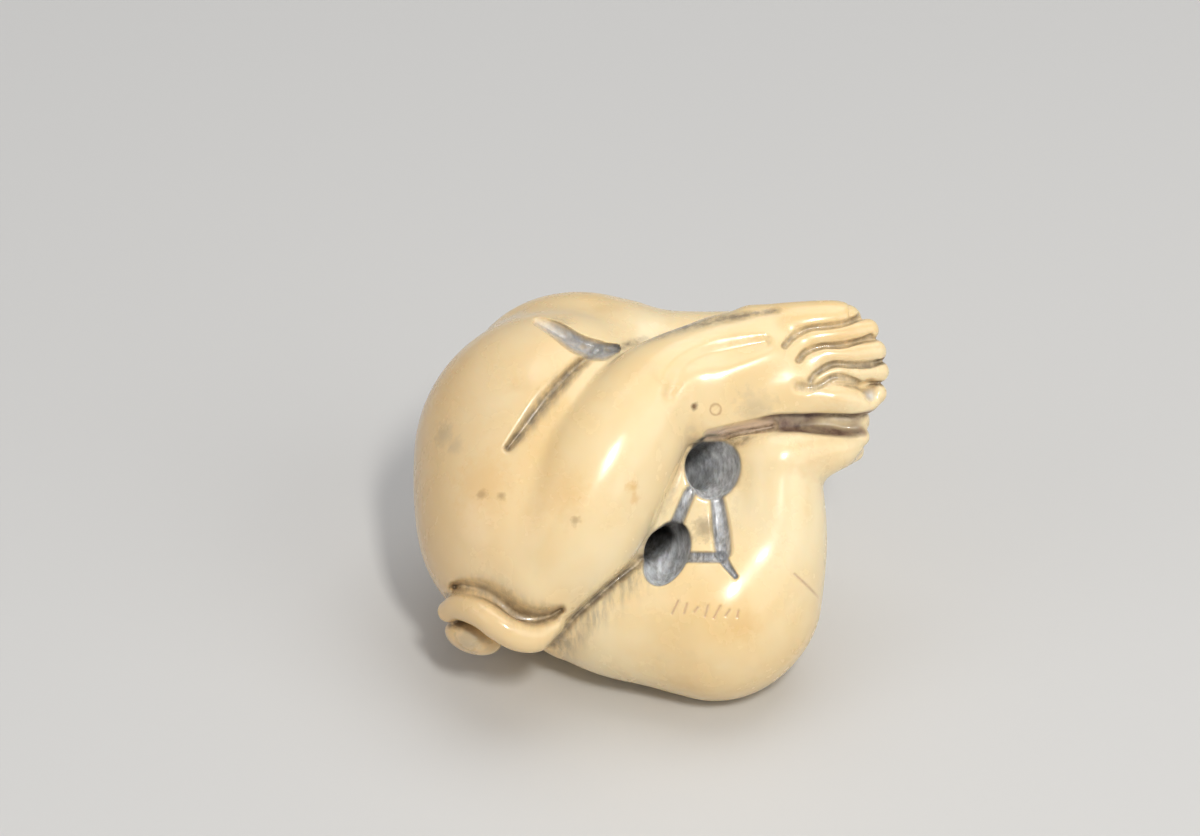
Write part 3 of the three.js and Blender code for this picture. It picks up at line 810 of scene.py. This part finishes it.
PALE, HONEY, TAN, LEFT_SHADE_TAN = (0.9, 0.75, 0.47), (0.86, 0.62, 0.3), (0.66, 0.41, 0.17), (0.7, 0.45, 0.2)
BROWN, AMBER, GREY = (0.17, 0.085, 0.035), (0.72, 0.42, 0.14), (0.3, 0.26, 0.2)
HOLE_SHADE_BLACK, DUSTY, DULL = (0.03, 0.022, 0.016), (0.4, 0.32, 0.2), (0.42, 0.37, 0.27)
RUST, SMEAR, PINK = (0.4, 0.2, 0.09), (0.33, 0.28, 0.2), (0.72, 0.54, 0.44)
GRIME_AND_SHADE, DIRT_AND_SHADE, ENGRAVED = (0.2, 0.13, 0.07), (0.17, 0.13, 0.09), (0.47, 0.27, 0.19)
SLOT_DARK, SLOT_LIGHT = (0.09, 0.045, 0.028), (0.27, 0.17, 0.12)
SHADED_HOLE_LEAD = (0.05, 0.045, 0.04), (0.16, 0.155, 0.15)  # painted shade: the holes' deep dark sides, scratched from dark to light
GROOVE_LEAD = (0.22, 0.22, 0.22), (0.55, 0.56, 0.58)
LIT_HOLE_LEAD = (0.46, 0.465, 0.47), (0.9, 0.92, 0.94)
SILVER_SHEEN = (0.75, 0.74, 0.72)
SPOTS = [  # x, y, radius, strength and colour
    (3.9, 8.2, 0.3, 0.9, BROWN),
    (-15.4, 0.2, 0.5, 0.5, BROWN),
    (-13.6, 0.1, 0.4, 0.45, BROWN),
    (-6.9, -2.1, 0.35, 0.4, BROWN),
    (-1.6, 0.9, 0.6, 0.55, AMBER),
    (-1.5, -0.2, 0.5, 0.45, AMBER),
    (-15.4, 1.2, 2.6, 0.3, AMBER),
    (-8, 0.4, 2.2, 0.22, AMBER),
    (8.4, -11.8, 1.6, 0.25, AMBER),
    (-19, 5.6, 1.1, 0.3, GREY),
    (-17.8, 4.6, 0.9, 0.25, GREY),
    (-8.3, 15.6, 1.2, 0.3, GREY),
    (9.6, 8, 1.6, 0.25, GREY),
    (5.1, -2.9, 1.2, 0.75, DUSTY),
    # painted shade: black on the deep upper-left rim of the upper cord hole
    (4.1, 4.7, 0.5, 0.9, HOLE_SHADE_BLACK),
    (3.6, 3.9, 0.45, 0.85, HOLE_SHADE_BLACK),
    (-16.7, -13.2, 1.4, 0.6, DULL),
    (18, 14, 2.6, 0.3, AMBER),
    (17.5, 9.6, 1.8, 0.25, AMBER),
    (15, 3.6, 2.2, 0.2, AMBER),
]
RING = (5.9, 7.9, 0.5, 0.16)  # a small ring-shaped stain: x, y, radius and line width


class Nodes:
    """Short names for the nodes of one material."""

    def __init__(self, name):
        self.material = bpy.data.materials.new(name)
        self.material.use_nodes = True
        self.tree = self.material.node_tree
        self.link = self.tree.links.new
        self.shader = self.tree.nodes["Principled BSDF"]
        self.place = self.add("ShaderNodeTexCoord").outputs["Object"]

    def add(self, kind, **settings):
        made = self.tree.nodes.new(kind)
        for name, value in settings.items():
            setattr(made, name, value)
        return made

    def fill(self, socket, value):
        if isinstance(value, bpy.types.NodeSocket):
            self.link(value, socket)
        elif isinstance(value, tuple) and len(value) == 3 and len(socket.default_value) == 4:
            socket.default_value = (*value, 1)
        else:
            socket.default_value = value

    def noise(self, scale, detail=4.0, roughness=0.55, vector=None):
        made = self.add("ShaderNodeTexNoise")
        for name, value in (("Scale", scale), ("Detail", detail), ("Roughness", roughness)):
            made.inputs[name].default_value = value
        self.link(vector or self.place, made.inputs["Vector"])
        return made.outputs["Fac"]

    def stretched(self, scale):
        """Coordinates of the carving's own frame, with each axis scaled."""
        made = self.add("ShaderNodeMapping", vector_type="TEXTURE")
        made.inputs["Rotation"].default_value = (radians(90 - UNDERSIDE_LEAN), 0, 0)
        made.inputs["Scale"].default_value = tuple(1 / s for s in scale)
        self.link(self.place, made.inputs["Vector"])
        return made.outputs[0]

    def ramp(self, value, low, high, start=0.0, end=1.0):
        made = self.add("ShaderNodeMapRange")
        for name, number in zip(("From Min", "From Max", "To Min", "To Max"), (low, high, start, end)):
            made.inputs[name].default_value = number
        self.link(value, made.inputs["Value"])
        return made.outputs["Result"]

    def math(self, operation, a, b, clamp=False):
        made = self.add("ShaderNodeMath", operation=operation, use_clamp=clamp)
        self.fill(made.inputs[0], a)
        self.fill(made.inputs[1], b)
        return made.outputs[0]

    def mix(self, share, first, second):
        made = self.add("ShaderNodeMix", data_type="RGBA")
        self.fill(made.inputs["Factor"], share)
        self.fill(made.inputs[6], first)
        self.fill(made.inputs[7], second)
        return made.outputs[2]

    def attribute(self, name):
        return self.add("ShaderNodeAttribute", attribute_name=name).outputs["Fac"]

    def distance_to(self, point):
        made = self.add("ShaderNodeVectorMath", operation="DISTANCE")
        self.link(self.place, made.inputs[0])
        made.inputs[1].default_value = point
        return made.outputs["Value"]


def ivory_material():
    n = Nodes("polished ivory")
    for name, value in (
        ("IOR", 1.54),
        ("Subsurface Weight", 0.22),
        ("Subsurface Radius", (1.0, 0.6, 0.3)),
        ("Subsurface Scale", 0.0011),
        ("Coat Weight", 0.2),
        ("Coat Roughness", 0.07),
    ):
        n.shader.inputs[name].default_value = value

    streaks = n.noise(1, 3, 0.5, n.stretched((260, 45, 120)))
    colour = n.mix(n.ramp(n.noise(75, 3), 0.36, 0.68), PALE, HONEY)
    colour = n.mix(n.ramp(streaks, 0.5, 0.75, 0, 0.35), colour, HONEY)
    colour = n.mix(n.ramp(n.noise(170, 5), 0.6, 0.8, 0, 0.4), colour, TAN)
    # painted shade: the left side of the figure is turned darker and tanner, where the light falls off
    across = n.add("ShaderNodeSeparateXYZ")
    n.link(n.place, across.inputs[0])
    left_shade = n.math("ADD", across.outputs["X"], n.ramp(n.noise(60, 2), 0.3, 0.7, -0.002, 0.002))
    colour = n.mix(n.ramp(left_shade, -0.006, -0.022, 0, 0.75), colour, LEFT_SHADE_TAN)
    wobble = n.ramp(n.noise(1500, 3), 0.3, 0.7, 0.6, 1.4)
    for x, y, radius, strength, stain in SPOTS:
        away = n.math("MULTIPLY", n.distance_to(on_underside(x, y)), wobble)
        colour = n.mix(n.ramp(away, 0.35 * radius * MM, 1.3 * radius * MM, strength, 0), colour, stain)
    x, y, radius, width = RING
    off_ring = n.math("ABSOLUTE", n.math("SUBTRACT", n.distance_to(on_underside(x, y)), radius * MM), 0.0)
    colour = n.mix(n.ramp(n.math("MULTIPLY", off_ring, wobble), 0, width * MM, 0.6, 0), colour, RUST)

    fine = n.noise(1100, 5, 0.65)
    feathers = n.noise(1, 4, 0.6, n.stretched((1900, 420, 700)))
    smear = n.math("MULTIPLY", n.attribute("smear"), n.ramp(feathers, 0.38, 0.62), True)
    colour = n.mix(n.math("MULTIPLY", smear, 0.6), colour, SMEAR)
    colour = n.mix(n.math("MULTIPLY", n.attribute("pink"), 0.75), colour, PINK)
    # dirt and painted shade: darker the more the surface closes in above a point
    grime_and_shade = n.math("MULTIPLY", n.attribute("crevice"), n.ramp(fine, 0.3, 0.62, 0.3, 1.0), True)
    colour = n.mix(n.ramp(grime_and_shade, 0.12, 0.8, 0, 0.85), colour, GRIME_AND_SHADE)
    # dirt and painted shade along the creases
    dirt_and_shade = n.math("MULTIPLY", n.attribute("dirt_and_shade"), n.ramp(fine, 0.35, 0.6, 0.35, 1.0), True)
    colour = n.mix(n.math("MULTIPLY", dirt_and_shade, 0.8), colour, DIRT_AND_SHADE)
    brown = n.math("MULTIPLY", n.attribute("brown"), n.ramp(n.noise(600, 4), 0.25, 0.6, 0.55, 1.0), True)
    colour = n.mix(brown, colour, n.mix(n.ramp(fine, 0.35, 0.7), SLOT_DARK, SLOT_LIGHT))
    colour = n.mix(n.math("MULTIPLY", n.attribute("marks"), 0.55), colour, ENGRAVED)

    scratches = n.noise(1, 4, 0.6, n.stretched((2600, 900, 1500)))
    # grey lining of the cord holes, with painted shade on the upper-left sides and painted light on the
    # lower-right walls
    lead = n.mix(n.ramp(scratches, 0.35, 0.7), *SHADED_HOLE_LEAD)
    light_lead = n.mix(n.ramp(scratches, 0.35, 0.65), *GROOVE_LEAD)
    walls = n.mix(n.ramp(scratches, 0.35, 0.65), *LIT_HOLE_LEAD)
    lead = n.mix(n.attribute("lit_wall"), lead, walls)
    lead = n.mix(n.attribute("grooves"), lead, light_lead)
    graphite = n.math("MULTIPLY", n.attribute("graphite"), n.ramp(fine, 0.2, 0.4, 0.8, 1.0), True)
    # grey lining with painted sheen in the cleft and the toe pit
    shine = n.math("MULTIPLY", n.attribute("shine"), n.ramp(fine, 0.3, 0.5, 0.5, 1.0), True)
    colour = n.mix(graphite, colour, lead)
    colour = n.mix(shine, colour, n.mix(0.5, light_lead, SILVER_SHEEN))
    n.link(colour, n.shader.inputs["Base Color"])

    metal = n.math("MAXIMUM", graphite, shine)
    n.link(n.math("MULTIPLY", metal, 0.35), n.shader.inputs["Metallic"])
    worn = n.math("MAXIMUM", n.math("MAXIMUM", grime_and_shade, brown), n.math("MULTIPLY", metal, 0.6))
    worn = n.math("ADD", n.noise(300, 4), n.math("MULTIPLY", worn, 0.8))
    n.link(n.ramp(worn, 0.3, 1.2, 0.17, 0.5), n.shader.inputs["Roughness"])

    bump = n.add("ShaderNodeBump")
    bump.inputs["Strength"].default_value = 0.12
    bump.inputs["Distance"].default_value = 0.00006
    rough = n.math("ADD", n.noise(450, 5), n.math("MULTIPLY", n.math("MULTIPLY", scratches, metal), 2.5))
    n.link(rough, bump.inputs["Height"])
    n.link(bump.outputs["Normal"], n.shader.inputs["Normal"])
    return n.material


figure.data.materials.append(ivory_material())
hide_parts(NODE)
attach(figure, "root")

# ---------------------------------------------------------------- floor, light and camera

SIGHT = LEAN @ np.array([0, 0, -1.0])  # the camera looks straight at the underside
CAMERA_DISTANCE = 450
VIEW_CENTRE = np.array([-4.63, 7.13, 0])  # the camera's axis crosses the underside here
VIEW_WIDTH = 111.1  # how much of the plane through the carving's origin the frame takes in


def plain_material(name, colour, roughness):
    material = bpy.data.materials.new(name)
    material.use_nodes = True
    shader = material.node_tree.nodes["Principled BSDF"]
    shader.inputs["Base Color"].default_value = (*colour, 1)
    shader.inputs["Roughness"].default_value = roughness
    return material


def make_floor():
    bpy.ops.mesh.primitive_plane_add(size=3, location=(0, 0, 0))
    floor = bpy.context.object
    floor.name = "floor"
    floor.data.materials.append(plain_material("pale floor", (0.62, 0.61, 0.59), 0.6))


def aim(obj, place, target):
    obj.location = place
    obj.rotation_euler = (Vector(target) - Vector(place)).to_track_quat("-Z", "Y").to_euler()


def make_camera():
    data = bpy.data.cameras.new("camera")
    camera = bpy.data.objects.new("camera", data)
    bpy.context.collection.objects.link(camera)
    data.sensor_width = 36
    data.lens = 36 * CAMERA_DISTANCE / VIEW_WIDTH
    data.clip_start = 0.01
    target = to_table(VIEW_CENTRE)
    aim(camera, tuple(target - SIGHT * CAMERA_DISTANCE * MM), tuple(target))
    bpy.context.scene.camera = camera
    bpy.context.scene.view_settings.view_transform = "Standard"


def area_light(name, place, target, size, energy, colour=(1, 1, 1)):
    data = bpy.data.lights.new(name, "AREA")
    data.shape = "RECTANGLE"
    data.size, data.size_y = size
    data.energy = energy
    data.color = colour
    light = bpy.data.objects.new(name, data)
    bpy.context.collection.objects.link(light)
    aim(light, place, target)


def make_lights():
    middle = (0, 0, 0.016)
    area_light("key", (0.1, -0.4, 0.48), middle, (0.05, 0.1), 1.9, (1.0, 0.98, 0.94))
    area_light("right fill", (0.5, -0.35, 0.4), middle, (0.5, 0.5), 1.1, (1.0, 0.99, 0.97))
    area_light("left fill", (-0.6, -0.35, 0.35), middle, (0.5, 0.5), 0.6, (0.97, 0.98, 1.0))
    area_light("top", (0.1, 0.2, 0.8), middle, (0.7, 0.7), 2.8)
    world = bpy.data.worlds.new("studio")
    bpy.context.scene.world = world
    world.use_nodes = True
    world.node_tree.nodes["Background"].inputs["Color"].default_value = (0.9, 0.93, 1.0, 1)
    world.node_tree.nodes["Background"].inputs["Strength"].default_value = 0.29


make_floor()
make_camera()
make_lights()
